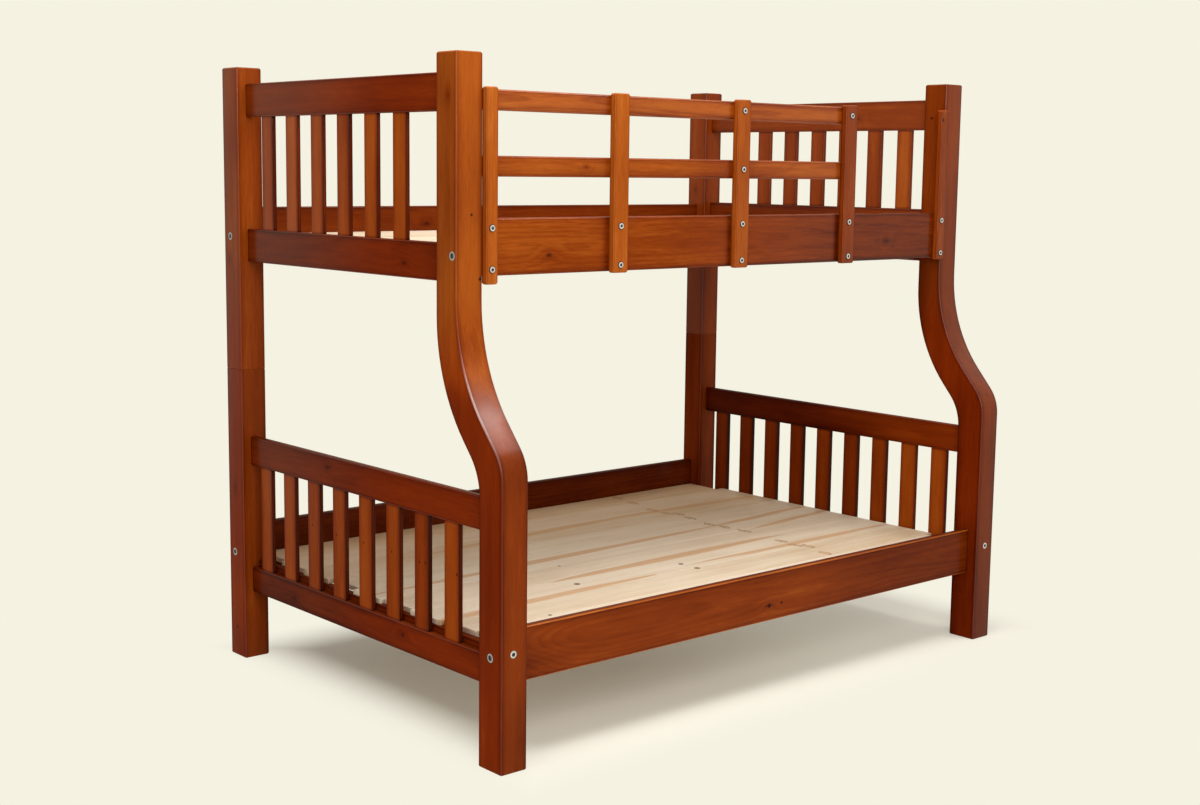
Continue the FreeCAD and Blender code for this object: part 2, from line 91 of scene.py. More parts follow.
# The bare pine of the decks
PINE = ((0.0, srgb(170, 134, 98)), (0.3, srgb(200, 173, 138)), (0.6, srgb(224, 207, 184)),
        (1.0, srgb(242, 232, 216)))
PINE_FIGURE = srgb(198, 150, 102)
PINE_WHORL = srgb(190, 140, 92)
PINE_KNOT = srgb(62, 38, 26)
# What the colour is multiplied by on the faces that look left: painted shade that makes them darker
# and redder
LEFT_FACE_PAINTED_SHADE = (1.0, 0.7, 0.5)
# A painted highlight on the arris of the left front post's curve
PAINTED_ARRIS_HIGHLIGHT = srgb(235, 205, 198)

POST_WIDTH = 82 * MM
RING_SPACING = 10 * MM
GRAIN_RELIEF = 0.2 * MM
BOARD_ROUNDING = 1.0 * MM
LOWER_BOARDS = 9
# Arrises sharper than these stay sharp in the shading
TIMBER_SHARP_ANGLE = math.radians(52)
BOLT_SHARP_ANGLE = math.radians(50)


class Value:
    """A node socket that can be used in sums: each operator adds one Math node."""

    def __init__(self, shader, socket):
        self.shader = shader
        self.socket = socket

    def _maths(self, operation, first, second):
        return self.shader.node("ShaderNodeMath", {"operation": operation}, {0: first, 1: second})

    def __add__(self, other):
        return self._maths("ADD", self, other)

    def __radd__(self, other):
        return self._maths("ADD", other, self)

    def __sub__(self, other):
        return self._maths("SUBTRACT", self, other)

    def __rsub__(self, other):
        return self._maths("SUBTRACT", other, self)

    def __mul__(self, other):
        return self._maths("MULTIPLY", self, other)

    def __rmul__(self, other):
        return self._maths("MULTIPLY", other, self)

    def __truediv__(self, other):
        return self._maths("DIVIDE", self, other)

    def __rtruediv__(self, other):
        return self._maths("DIVIDE", other, self)

    def __pow__(self, other):
        return self._maths("POWER", self, other)

    def __rpow__(self, other):
        return self._maths("POWER", other, self)


class Shader:
    """A material being built: node() adds one node and returns one of its outputs as a Value."""

    def __init__(self, name):
        self.material = bpy.data.materials.new(name)
        self.material.use_nodes = True
        self.tree = self.material.node_tree
        self.surface = self.tree.nodes["Principled BSDF"]

    def node(self, kind, settings=None, inputs=None, output=0):
        """Adds a node with its settings and inputs. stops are the places and colours of a ramp."""
        made = self.tree.nodes.new(kind)
        for key, value in (settings or {}).items():
            if key == "stops":
                ramp = made.color_ramp
                while len(ramp.elements) < len(value):
                    ramp.elements.new(0.5)
                for element, (place, colour) in zip(ramp.elements, value):
                    element.position = place
                    element.color = (*colour, 1.0)
            else:
                setattr(made, key, value)
        for key, value in (inputs or {}).items():
            self.feed(made.inputs[key], value)
        return Value(self, made.outputs[output])

    def feed(self, socket, value):
        """Links a Value to an input, or sets the input to a constant."""
        if isinstance(value, Value):
            self.tree.links.new(value.socket, socket)
        elif isinstance(value, tuple) and len(value) == 3 and len(socket.default_value) == 4:
            socket.default_value = (*value, 1.0)
        else:
            socket.default_value = value

    def set(self, **inputs):
        """Feeds the surface's inputs, named with underscores."""
        for name, value in inputs.items():
            self.feed(self.surface.inputs[name.replace("_", " ")], value)

    def place(self):
        """The point's place in the frame."""
        return self.node("ShaderNodeTexCoord", {}, {}, "Object")

    def attribute(self, name, output):
        return self.node("ShaderNodeAttribute", {"attribute_name": name}, {}, output)

    def split(self, vector):
        """The three numbers of a vector."""
        parts = []
        for output in range(3):
            parts.append(self.node("ShaderNodeSeparateXYZ", {}, {0: vector}, output))
        return parts

    def join(self, x, y, z):
        return self.node("ShaderNodeCombineXYZ", {}, {0: x, 1: y, 2: z})

    def noise(self, vector, detail=2.0, output=0):
        inputs = {"Vector": vector, "Scale": 1.0, "Detail": detail}
        return self.node("ShaderNodeTexNoise", {}, inputs, output)

    def smooth(self, value, low, high, to_low=0.0, to_high=1.0):
        """An S-shaped step from to_low, where the value is low, to to_high, where it is high."""
        return self.node("ShaderNodeMapRange", {"interpolation_type": "SMOOTHSTEP"},
                         {0: value, 1: low, 2: high, 3: to_low, 4: to_high})

    def fraction(self, value):
        return self.node("ShaderNodeMath", {"operation": "FRACT"}, {0: value})

    def size_of(self, value):
        return self.node("ShaderNodeMath", {"operation": "ABSOLUTE"}, {0: value})

    def most(self, first, second):
        return self.node("ShaderNodeMath", {"operation": "MAXIMUM"}, {0: first, 1: second})

    def least(self, first, second):
        return self.node("ShaderNodeMath", {"operation": "MINIMUM"}, {0: first, 1: second})

    def within(self, value, low, high):
        """The value kept between low and high."""
        return self.node("ShaderNodeClamp", {}, {0: value, 1: low, 2: high})

    def bell(self, square, width):
        """A soft hump: e to the power of minus the squared distance over the squared width."""
        return math.e ** (square * (-1.0 / width ** 2))

    def band(self, value, middle, width):
        """A soft hump across a band, highest where the value is the middle."""
        from_middle = value - middle
        return self.bell(from_middle * from_middle, width)

    def disc(self, across, up, radius, inner):
        """One inside a small circle, given the distances from its centre. The edge fades from the radius
        to the share inner of it."""
        return self.smooth((across * across + up * up) ** 0.5, radius, radius * inner)

    def ramp(self, value, stops):
        return self.node("ShaderNodeValToRGB", {"stops": stops}, {0: value})

    def mix(self, share, first, second, blend="MIX"):
        """A Mix node of colours: its inputs 6 and 7 and its output 2 are those for colours."""
        return self.node("ShaderNodeMix", {"data_type": "RGBA", "blend_type": blend},
                         {0: share, 6: first, 7: second}, 2)

    def bump(self, height, depth, strength):
        inputs = {"Height": height, "Distance": depth, "Strength": strength}
        return self.node("ShaderNodeBump", {}, inputs)


# The front posts' two face lines in a side view, as in the model: Y below and above the curve, the height
# where it starts, and its lower and upper radius
LEAN = math.radians(41.0)
FRONT_LINE = (-0.680, -0.490, 0.730, 0.125, 0.450)
BACK_LINE = (-0.585, -0.404, 0.684, 0.150, 0.465)


def face_line(shader, z, line):
    """Y of a front post's face at the height z. An arc, a straight lean and a second arc each add their
    step in Y as z passes through them: an arc's step is its radius less the root of its radius squared
    less its rise squared."""
    low_y, high_y, bend, low_radius, high_radius = line
    low_rise = low_radius * math.sin(LEAN)
    high_rise = high_radius * math.sin(LEAN)
    arcs = (low_radius + high_radius) * (1 - math.cos(LEAN))
    straight = (high_y - low_y - arcs) / math.tan(LEAN)
    first = shader.within(z - bend, 0.0, low_rise)
    lean = shader.within(z - (bend + low_rise), 0.0, straight)
    last = shader.within((bend + low_rise + straight + high_rise) - z, 0.0, high_rise)
    first_step = low_radius - (low_radius ** 2 - first * first) ** 0.5
    last_left = high_radius - (high_radius ** 2 - last * last) ** 0.5
    return first_step + lean * math.tan(LEAN) - last_left + (low_y + high_radius * (1 - math.cos(LEAN)))


# How far apart in the noise two pieces of a node lie, and two nodes whose seeds are one apart
PIECE_SHIFT = 7.0
SEED_SHIFT = 1.37
SEED_STEP = 3.1
# A knot is drawn out, since distances along the grain count for less. In its own sizes: the width and the
# height of the hump that it makes in the rings, the edge of its dark core and the width of its soft halo
KNOT_DRAWN_OUT = 0.55
KNOT_HUMP = (2.6, 1.7)
KNOT_CORE = (0.7, 0.3)
KNOT_HALO = 1.5


class Grain:
    """The figure of sawn timber, from each piece's own middle: a runs along the grain, b and c across it.

    Rings lie round a pith that runs beside the piece and wanders slowly. Each knot pushes the rings
    outwards in a soft hump, drawn out along the grain, and has a dark core. Streaks, needles and fibres
    are noise drawn out along the grain, and blotches are broad, where the wood took the stain unevenly.
    rim is the distance from the nearest long arris, and end the distance from the nearer end."""

    def __init__(self, shader, along, seed, pith, spacing, knots, wander=0.09):
        order = {"x": (0, 2, 1), "y": (1, 2, 0), "z": (2, 1, 0)}[along]
        place = shader.split(shader.attribute("from_middle", "Vector"))
        half = shader.split(shader.attribute("half", "Vector"))
        a, b, c = (place[axis] for axis in order)
        half_a, half_b, half_c = (half[axis] for axis in order)
        self.shader = shader
        self.a, self.b, self.c = a, b, c
        self.end = half_a - shader.size_of(a)
        self.rim = shader.most(half_b - shader.size_of(b), half_c - shader.size_of(c))
        self.piece = shader.attribute("piece", "Fac")
        self.far = a + self.piece * PIECE_SHIFT + seed * SEED_SHIFT
        radius = self.bent_by_knots(self.from_pith(pith, wander), knots)
        turn = shader.fraction(radius / spacing)
        self.late = shader.smooth(turn, 0.25, 0.88) * shader.smooth(turn, 0.88, 1.0, 1.0, 0.0)
        self.streak = self.drawn_out(1.3, 34.0, 3.0)
        self.needle = self.drawn_out(14.0, 150.0)
        self.fibre = self.drawn_out(30.0, 420.0)
        self.blotch = shader.noise(shader.join(self.far * 2.6 + 3.0, b * 9.0, c * 9.0))

    def drawn_out(self, along, across, detail=2.0, output=0):
        """Noise with so many cells to the metre along the grain and across it."""
        cell = self.shader.join(self.far * along, self.b * across, self.c * across)
        return self.shader.noise(cell, detail, output)

    def from_pith(self, pith, wander):
        """The distance from the pith, which wanders slowly and runs slightly unevenly."""
        drift = self.shader.split(self.drawn_out(0.8, 3.0, output="Color"))
        across = self.b - pith[0] + (drift[0] - 0.5) * wander
        through = self.c - pith[1] + (drift[1] - 0.5) * wander
        return (across * across + through * through) ** 0.5 + (self.drawn_out(5.0, 45.0) - 0.5) * (4 * MM)

    def bent_by_knots(self, radius, knots):
        """The radius with each knot's hump. Also keeps the knots' dark cores and their soft halos."""
        shader = self.shader
        self.core = 0.0
        self.halo = 0.0
        for knot_a, knot_b, size in knots:
            from_a = (self.a - knot_a) * KNOT_DRAWN_OUT
            from_b = self.b - knot_b
            square = from_a * from_a + from_b * from_b
            radius = radius + shader.bell(square, size * KNOT_HUMP[0]) * (size * KNOT_HUMP[1])
            core = shader.smooth(square ** 0.5, size * KNOT_CORE[0], size * KNOT_CORE[1])
            self.core = shader.most(core, self.core)
            self.halo = shader.most(shader.bell(square, size * KNOT_HALO), self.halo)
        return radius

    def figure(self, streak, blotch, needle, fibre, piece, late):
        """What the figure adds to the tone, given how much each part of it counts."""
        return ((self.streak - 0.5) * streak + (self.blotch - 0.5) * blotch + (self.needle - 0.5) * needle
                + (self.fibre - 0.5) * fibre + (self.piece - 0.5) * piece - self.late * late)

    def relief(self, fibre, streak, strength):
        """The fine ridges that the grain leaves in the surface."""
        height = self.fibre * fibre + self.streak * streak - self.late * 0.2
        return self.shader.bump(height, GRAIN_RELIEF, strength)


# The sheen on a piece's front faces, towards the left of the bed and towards its right
FRONT_HAZE = {"upper front side rail": (0.06, 0.4), "lower front side rail": (0.11, 0.14),
              "guard top rail": (0.42, 0.5), "guard middle rail": (0.14, 0.46),
              "front right curved post": (0.3, 0.34), "front left curved post": (0.09, 0.09)}
GUARD_HAZE = (0.1, 0.4)
PLAIN_HAZE = (0.1, 0.1)
# The bright part of each front post's curve: the height of its middle, and its half width. On the left
# post it also places a painted highlight on the arris
LEFT_PATCH = (0.905, 0.085)
RIGHT_PATCH = (0.88, 0.12)
# How strongly things show in the finish of a stained piece. It takes all entries whose words are in its
# name, the later over the earlier: fine is for the fine figure, rings and knot for its dark parts,
# edge_width and edge_depth for the darker edge of each face, and the arrises' tone for the paler
# arrises, which are a painted highlight
FINISHES = (
    ("", {"fine": 0.6, "rings": 0.045, "knot": 0.6, "edge_width": 20 * MM, "edge_depth": 0.09,
          "arris_painted_highlight": 0.04, "coat_roughness": 0.2}),
    ("guard", {"fine": 0.9, "knot": 0.3}),
    ("guard top rail", {"rings": 0.09}),
    ("guard post", {"edge_width": 7 * MM, "edge_depth": 0.05}),
    ("upper front side rail", {"fine": 0.9}),
    ("lower front side rail", {"rings": 0.075, "arris_painted_highlight": 0.32}),
    ("post", {"rings": 0.015, "knot": 0.3}),
    ("curved", {"coat_roughness": 0.34}))


# How much darker the colour is in the line beside each arris, how much painted shade darkens it against
# a joint, how much darker it is round a knot, how much painted shade darkens the sides of the slats that
# look to the front, how much more sheen the arrises have, the width of the line beside them and how far
# the painted shade at a joint reaches
BESIDE_ARRIS = 0.1
JOINT_PAINTED_SHADE = 0.14
ROUND_KNOT = 0.09
SLAT_SIDE_PAINTED_SHADE = 0.28
ARRIS_SHEEN = 0.22
ARRIS_LINE = 3.5 * MM
JOINT_SHADE_REACH = 7 * MM


def finish_of(name):
    """The settings of a piece's finish, gathered from all the entries that its name calls for."""
    finish = {}
    for words, settings in FINISHES:
        if words in name:
            finish.update(settings)
    return finish


class Place:
    """Where a point of a stained piece is, and the kind of face it is on: front, left and chamfer are one
    on the faces that look to the front, on those that look to the left and on the chamfers."""

    def __init__(self, shader):
        self.x, self.y, self.z = shader.split(shader.place())
        self.axes = {"x": self.x, "y": self.y, "z": self.z}
        facing = shader.split(shader.attribute("facing", "Vector"))
        self.front = shader.smooth(facing[1], -0.3, -0.7)
        self.left = shader.smooth(facing[0], -0.5, -0.8)
        self.chamfer = shader.attribute("arris", "Fac")


def haze_of(shader, name, at):
    """How much of the lacquer's pale sheen shows: it grows towards the right on the front faces, and
    towards the back and the top on the left faces of the left end. Both front posts are brighter on their
    curve, and the left one has a soft patch there, brightest on the arris."""
    at_left, at_right = FRONT_HAZE.get(name, GUARD_HAZE if "guard" in name else PLAIN_HAZE)
    haze = shader.smooth(at.x, -0.4, 0.4, at_left, at_right) * at.front + at.chamfer * ARRIS_SHEEN
    if "left" in name:
        haze = haze + shader.smooth(at.y, -0.2, 0.5) * shader.smooth(at.z, 0.1, 1.2, 0.06, 0.28) * at.left
    if "right upper" in name:
        haze = haze + at.left * 0.2 + at.front * 0.1
    if name == "front left curved post":
        patch = shader.band(at.z, *LEFT_PATCH)
        near_arris = shader.smooth(at.x, -0.92, -0.965, 0.45, 0.8)
        haze = haze + patch * at.front * near_arris + patch * at.chamfer * 0.6
    if name == "front right curved post":
        patch = shader.band(at.z, *RIGHT_PATCH) * 0.16
        haze = haze + (patch + shader.smooth(at.z, 0.76, 0.88) * 0.12) * at.front
    return haze


def painted_left_shade_of(shader, name, at):
    """How much painted shade darkens and reddens a piece's left faces: more towards the front, and on
    posts under the upper bunk."""
    if "right upper" in name:
        return 0.0
    if name.endswith("slats") or "right lower" in name:
        return at.left * 0.5
    if "post" in name:
        return at.left * shader.smooth(at.z, 1.2, 0.95)
    return at.left * shader.smooth(at.y, 0.35, -0.15, 0.35, 1.0)


def rim_of(shader, name, grain, at):
    """The distance from the nearest long arris, also where a post's arrises follow its curve."""
    if "curved" not in name:
        return grain.rim
    from_front = at.y - face_line(shader, at.z, FRONT_LINE)
    from_back = face_line(shader, at.z, BACK_LINE) - at.y
    return shader.most(shader.least(from_front, from_back), POST_WIDTH / 2 - shader.size_of(grain.c))


def edges_of(shader, name, grain, at, finish, let_in, arris):
    """What the tone gains or loses at the edges of the faces, on the arrises, which are lighter as a
    painted highlight, and at the joints, which are darker as painted shade.
    """
    rim = rim_of(shader, name, grain, at)
    edge = shader.smooth(rim, 0.0, finish["edge_width"], -finish["edge_depth"], 0.0)
    line = shader.smooth(rim, arris + ARRIS_LINE, arris) * (1.0 - at.chamfer)
    # The arrises are lighter, a painted highlight
    gain = edge - line * BESIDE_ARRIS + at.chamfer * finish["arris_painted_highlight"]
    if let_in:
        # Painted shade against a joint
        gain = gain - shader.smooth(grain.end, let_in + JOINT_SHADE_REACH, let_in) * JOINT_PAINTED_SHADE
    return gain


def mark_timber(shader, name, grain, at, colour, knots, spots):
    """The colour with painted shade on its left faces, a painted highlight on the left post's curved
    arris, the knots and the spots.
    """
    # Painted shade on the faces that look left, darker and redder
    colour = shader.mix(painted_left_shade_of(shader, name, at), colour, LEFT_FACE_PAINTED_SHADE, "MULTIPLY")
    if name == "front left curved post":
        # A painted highlight on the arris of the left post's curve
        colour = shader.mix(shader.band(at.z, *LEFT_PATCH) * at.chamfer * 0.35, colour, PAINTED_ARRIS_HIGHLIGHT)
    if knots:
        colour = shader.mix(grain.core * finish_of(name)["knot"], colour, STAIN_KNOT)
    if spots:
        dark = 0.0
        for plane, first, second, radius in spots:
            disc = shader.disc(at.axes[plane[0]] - first, at.axes[plane[1]] - second, radius, 0.85)
            dark = shader.most(disc, dark)
        colour = shader.mix(dark * 0.85, colour, STAIN_KNOT)
    return colour


def stained_timber(name, along, seed, tone, pith, knots=(), spots=(), shades=(), steps=(), let_in=0.0,
                   arris=4 * MM):
    """Pine under a red-brown stain and a glossy lacquer. The colour is darker towards the edges of each
    face and in a line beside each arris, darker against each joint as painted shade, and lighter on the
    arrises, which shine, as a painted highlight.

    spots, shades and steps are as in the tables SPOTS, SHADES and STEPS, and knots are as in TIMBER but
    from the piece's own middle. let_in is how much of each end is hidden in another piece, and arris the
    size of the chamfers."""
    shader = Shader(name)
    finish = finish_of(name)
    grain = Grain(shader, along, seed, pith, RING_SPACING, knots)
    at = Place(shader)
    fine = finish["fine"]
    figure = grain.figure(streak=0.15, blotch=0.26, needle=0.17 * fine, fibre=0.15 * fine, piece=0.14,
                          late=finish["rings"] * fine)
    value = figure + tone + edges_of(shader, name, grain, at, finish, let_in, arris)
    # Painted light and shade over the node: darker towards the back and the right
    for axis, start, stop, gain in steps:
        value = value + shader.smooth(at.axes[axis], start, stop) * gain
    if knots:
        value = value - grain.halo * ROUND_KNOT
    # Soft bands on the front faces, partly painted shade, and the painted shadows of the guard's inner
    # posts
    for middle, half_width, depth in shades:
        value = value - shader.band(at.axes[along], middle, half_width) * depth * at.front
    # Painted shade on the sides of the slats that look to the front
    if name.endswith("slats") and "right upper" not in name:
        value = value - at.front * SLAT_SIDE_PAINTED_SHADE
    colour = mark_timber(shader, name, grain, at, shader.ramp(value, STAIN), knots, spots)
    shader.set(Base_Color=colour, Roughness=(grain.blotch - 0.5) * 0.3 + 0.33,
               Normal=grain.relief(fibre=0.5, streak=0.4, strength=0.6), Specular_IOR_Level=0.01,
               Coat_Weight=haze_of(shader, name, at), Coat_Roughness=finish["coat_roughness"])
    return shader.material


# Darker summer wood that shows on the lower deck as long pointed tongues: start, end and half the width
DECK_TONGUES = (((-0.62, 0.295), (0.52, 0.352), 0.026), ((0.20, 0.340), (1.02, 0.312), 0.020),
                ((-1.05, -0.012), (0.56, 0.044), 0.028), ((0.35, 0.036), (1.05, 0.084), 0.022),
                ((-0.47, -0.206), (0.58, -0.184), 0.034), ((-1.15, -0.345), (-0.14, -0.323), 0.028),
                ((-0.03, -0.302), (1.04, -0.293), 0.024), ((0.50, -0.068), (1.10, 0.005), 0.022))
# What a tongue's half width is multiplied by, beside the shares of its length before and after a place
TONGUE_FULLNESS = 3.4
# A row of whorls across the boards: place
DECK_WHORLS = ((0.510, 0.592), (0.493, 0.492), (0.464, 0.361), (0.468, 0.294), (0.493, 0.254),
               (0.477, 0.183), (0.461, 0.075), (0.470, 0.008), (0.478, -0.076), (0.464, -0.251),
               (0.457, -0.318), (0.479, -0.353), (0.449, -0.451))
# How much the distances from a whorl's middle count along and across the board: it is short along it
WHORL_SHAPE = (1.9, 0.9)
WHORL_SIZE = 22 * MM
# Y of the lower deck's front edge
DECK_FRONT = -0.614
# Small dark knots: place and radius
DECK_KNOTS = ((0.493, 0.254, 0.003), (0.477, 0.183, 0.004), (0.461, 0.075, 0.004),
              (0.470, 0.008, 0.003), (0.478, -0.076, 0.003), (0.464, -0.251, 0.004),
              (0.457, -0.318, 0.003), (-0.410, -0.268, 0.011), (-0.007, -0.277, 0.010),
              (-0.004, -0.344, 0.011), (-0.313, -0.070, 0.006), (-0.680, -0.476, 0.007))


def tongues_of_deck(shader, x, y, ragged):
    """One in the tongues of summer wood, which are widest halfway along and end in points."""
    figure = 0.0
    for (x0, y0), (x1, y1), half in DECK_TONGUES:
        share = (x - x0) / (x1 - x0)
        middle = share * (y1 - y0) + y0
        width = share * (1.0 - share) * (TONGUE_FULLNESS * half) + 0.5 * MM
        depth = 1.0 - shader.size_of(y - middle + ragged) / width
        inside = shader.smooth(share, 0.0, 0.02) * shader.smooth(share, 0.98, 1.0, 1.0, 0.0)
        figure = shader.most(shader.smooth(depth, 0.0, 0.5) * inside, figure)
    return figure


def mark_deck(shader, x, y, colour):
    """The boards' colour, warmer towards the back, with the tongues, the row of whorls and the knots."""
    colour = shader.mix(shader.smooth(y, 0.0, 0.6) * 0.35, colour, PINE_FIGURE)
    ragged = (shader.noise(shader.join(x * 3.0, y * 40.0, 0.0), 3.0) - 0.5) * 0.03
    frayed = (shader.noise(shader.join(x * 60.0, y * 60.0, 3.0)) - 0.5) * 0.04
    colour = shader.mix(tongues_of_deck(shader, x, y, ragged) * 0.75, colour, PINE_FIGURE)
    whorl = 0.0
    for whorl_x, whorl_y in DECK_WHORLS:
        along = (x - whorl_x + ragged * 0.5) * WHORL_SHAPE[0]
        across = (y - whorl_y + frayed) * WHORL_SHAPE[1]
        whorl = shader.most(shader.bell(along * along + across * across, WHORL_SIZE), whorl)
    inside = shader.smooth(whorl, 0.25, 0.4)
    outline = inside * shader.smooth(whorl, 0.4, 0.6, 1.0, 0.0)
    colour = shader.mix(inside * 0.6, colour, PINE_WHORL)
    colour = shader.mix(outline * 0.5, colour, PINE_KNOT)
    dark = 0.0
    for knot_x, knot_y, radius in DECK_KNOTS:
        dark = shader.most(shader.disc(x - knot_x, y - knot_y, radius, 0.7), dark)
    return shader.mix(dark * 0.9, colour, PINE_KNOT)


def pale_pine(name, along, seed, tone, marked=False):
    """Planed, unfinished pine: pale, with the same figure as the stained timber but faint. Where it is
    marked, for the lower deck, it is darker towards the back, the front and the right as painted shade,
    and lighter on its front edge as a painted highlight."""
    shader = Shader(name)
    grain = Grain(shader, along, seed, pith=(0.0, -0.035), spacing=7 * MM, knots=(), wander=0.12)
    value = grain.figure(streak=0.3, blotch=0.35, needle=0.0, fibre=0.22, piece=0.16, late=0.06) + tone
    if marked:
        x, y, _ = shader.split(shader.place())
        # Painted shade: darker towards the back, the front and the right
        value = value - shader.smooth(y, -0.3, 0.5) * 0.13 - shader.smooth(y, -0.2, -0.5) * 0.06
        value = value - shader.smooth(x, -0.1, 0.7) * 0.07
        # A painted highlight along the front edge
        value = value + shader.smooth(y, DECK_FRONT + 5 * MM, DECK_FRONT) * 0.3
    colour = shader.ramp(value, PINE)
    if marked:
        colour = mark_deck(shader, x, y, colour)
    shader.set(Base_Color=colour, Roughness=(grain.streak - 0.5) * 0.2 + 0.6,
               Normal=grain.relief(fibre=0.6, streak=0.3, strength=0.5), Specular_IOR_Level=0.2)
    return shader.material


# The zinc's display level where it is cloudy and where it is bright, and what a grey piece loses of it
ZINC_CLOUDY = 200
ZINC_BRIGHT = 248
ZINC_LOSS = 150


def zinc_steel(name, dull):
    """Zinc-plated steel, slightly cloudy and finely brushed, with dark grease and painted shade in the
    socket and at the rim, where grey patches are painted glints.

    dull is how far the plating has gone grey."""
    shader = Shader(name)
    x, y, z = shader.split(shader.place())
    cloud = shader.noise(shader.join(x * 220.0, y * 220.0, z * 220.0), 3.0)
    brush = shader.noise(shader.join(x * 900.0, y * 900.0, z * 5000.0))
    grease = shader.attribute("grease", "Fac")
    cloudy = ZINC_CLOUDY - ZINC_LOSS * dull
    bright = ZINC_BRIGHT - ZINC_LOSS * dull
    metal = shader.ramp(cloud, ((0.2, srgb(cloudy, cloudy, cloudy)), (0.8, srgb(bright, bright, bright))))
    # Dark grease and painted shade in the socket and at the rim, with grey patches that are painted
    # glints
    grease_shade_and_glints = shader.ramp(cloud, ((0.54, srgb(24, 20, 18)), (0.7, srgb(140, 140, 144))))
    shader.set(Base_Color=shader.mix(grease, metal, grease_shade_and_glints),
               Roughness=(cloud - 0.5) * 0.3 + 0.3 + grease * 0.2, Metallic=1.0 - grease,
               Normal=shader.bump(brush, 0.05 * MM, 0.5))
    return shader.material


def arrays_of(node):
    """The node's triangles with equal corners made one: corners are rounded to a hundredth of a
    millimetre and numbered by their distinct places. Also the number of the separate solid that each
    corner belongs to, found by passing the lowest number round each triangle until nothing changes."""
    mesh = node.data
    places = np.empty(len(mesh.vertices) * 3, np.float32)
    mesh.vertices.foreach_get("co", places)
    places = places.reshape(-1, 3)
    corners = np.empty(len(mesh.loops), np.int32)
    mesh.loops.foreach_get("vertex_index", corners)
    keys = np.round(places / (0.01 * MM)).astype(np.int64)
    _, first, numbers = np.unique(keys, axis=0, return_index=True, return_inverse=True)
    triangles = numbers.reshape(-1)[corners].reshape(-1, 3)
    whole = ((triangles[:, 0] != triangles[:, 1]) & (triangles[:, 1] != triangles[:, 2])
             & (triangles[:, 2] != triangles[:, 0]))
    triangles = triangles[whole]
    label = np.arange(len(first))
    while True:
        spread = label.copy()
        lowest = spread[triangles].min(axis=1)
        for corner in range(3):
            np.minimum.at(spread, triangles[:, corner], lowest)
        spread = spread[spread]
        if (spread == label).all():
            break
        label = spread
    solid = np.unique(label, return_inverse=True)[1].reshape(-1)
    return places[first], triangles, solid


def solid_boxes(node):
    """The lowest and highest corner of each separate solid of a node."""
    places, _, solid = arrays_of(node)
    boxes = []
    for number in range(solid.max() + 1):
        own = places[solid == number]
        boxes.append((own.min(axis=0), own.max(axis=0)))
    return boxes


def write_attribute(mesh, name, domain, values):
    """Keeps a number or a vector for each point or face of a mesh."""
    kind, key = ("FLOAT_VECTOR", "vector") if values.ndim == 2 else ("FLOAT", "value")
    mesh.attributes.new(name, kind, domain).data.foreach_set(key, values.astype(np.float32).ravel())


def add_object(mesh, node_name, material):
    """Puts a finished mesh into the scene in place of a CAD node."""
    mesh.materials.append(material)
    shown = bpy.data.objects.new(node_name + "-finished", mesh)
    bpy.context.scene.collection.objects.link(shown)
    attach(shown, BODY_OF[node_name])
    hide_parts(node_name)
    return shown


# How far a normal goes along an axis that it clearly leans towards
LEANS = 0.3


def dress(node_name, material, seed, round_edges=0.0):
    """A copy of a timber node with merged corners, its grain's own coordinates and softly turning light.

    A triangle belongs to a chamfer where its normal leans clearly towards two axes, one of them X on a
    curved post, whose front and back lean too."""
    places, triangles, solid = arrays_of(NODES[node_name])
    count = solid.max() + 1
    middles = np.empty((count, 3))
    halves = np.empty((count, 3))
    for number in range(count):
        own = places[solid == number]
        middles[number] = (own.min(axis=0) + own.max(axis=0)) / 2
        halves[number] = (own.max(axis=0) - own.min(axis=0)) / 2
    chance = np.random.default_rng(seed).random(count)
    corners = places[triangles]
    normal = np.cross(corners[:, 1] - corners[:, 0], corners[:, 2] - corners[:, 0])
    normal /= np.maximum(np.linalg.norm(normal, axis=1, keepdims=True), 1e-12)
    leaning = np.sort(np.abs(normal), axis=1)[:, 1] > LEANS
    if "curved" in node_name:
        leaning &= np.abs(normal[:, 0]) > LEANS
    mesh = bpy.data.meshes.new(node_name + "-finished")
    mesh.from_pydata(places.tolist(), [], triangles.tolist())
    write_attribute(mesh, "from_middle", "POINT", places - middles[solid])
    write_attribute(mesh, "half", "POINT", halves[solid])
    write_attribute(mesh, "piece", "POINT", chance[solid])
    write_attribute(mesh, "arris", "FACE", leaning)
    write_attribute(mesh, "facing", "FACE", normal)
    mesh.shade_smooth()
    mesh.set_sharp_from_angle(angle=TIMBER_SHARP_ANGLE)
    shown = add_object(mesh, node_name, material)
    if round_edges:
        rounding = shown.modifiers.new("rounded arrises", "BEVEL")
        rounding.width = round_edges
        rounding.segments = 2
        rounding.limit_method = "ANGLE"
        rounding.angle_limit = TIMBER_SHARP_ANGLE
        rounding.harden_normals = True
    shading = shown.modifiers.new("even shading", "WEIGHTED_NORMAL")
    shading.keep_sharp = True


SOCKET_DEPTH = 2.2 * MM
BOLT_SIDES = 48


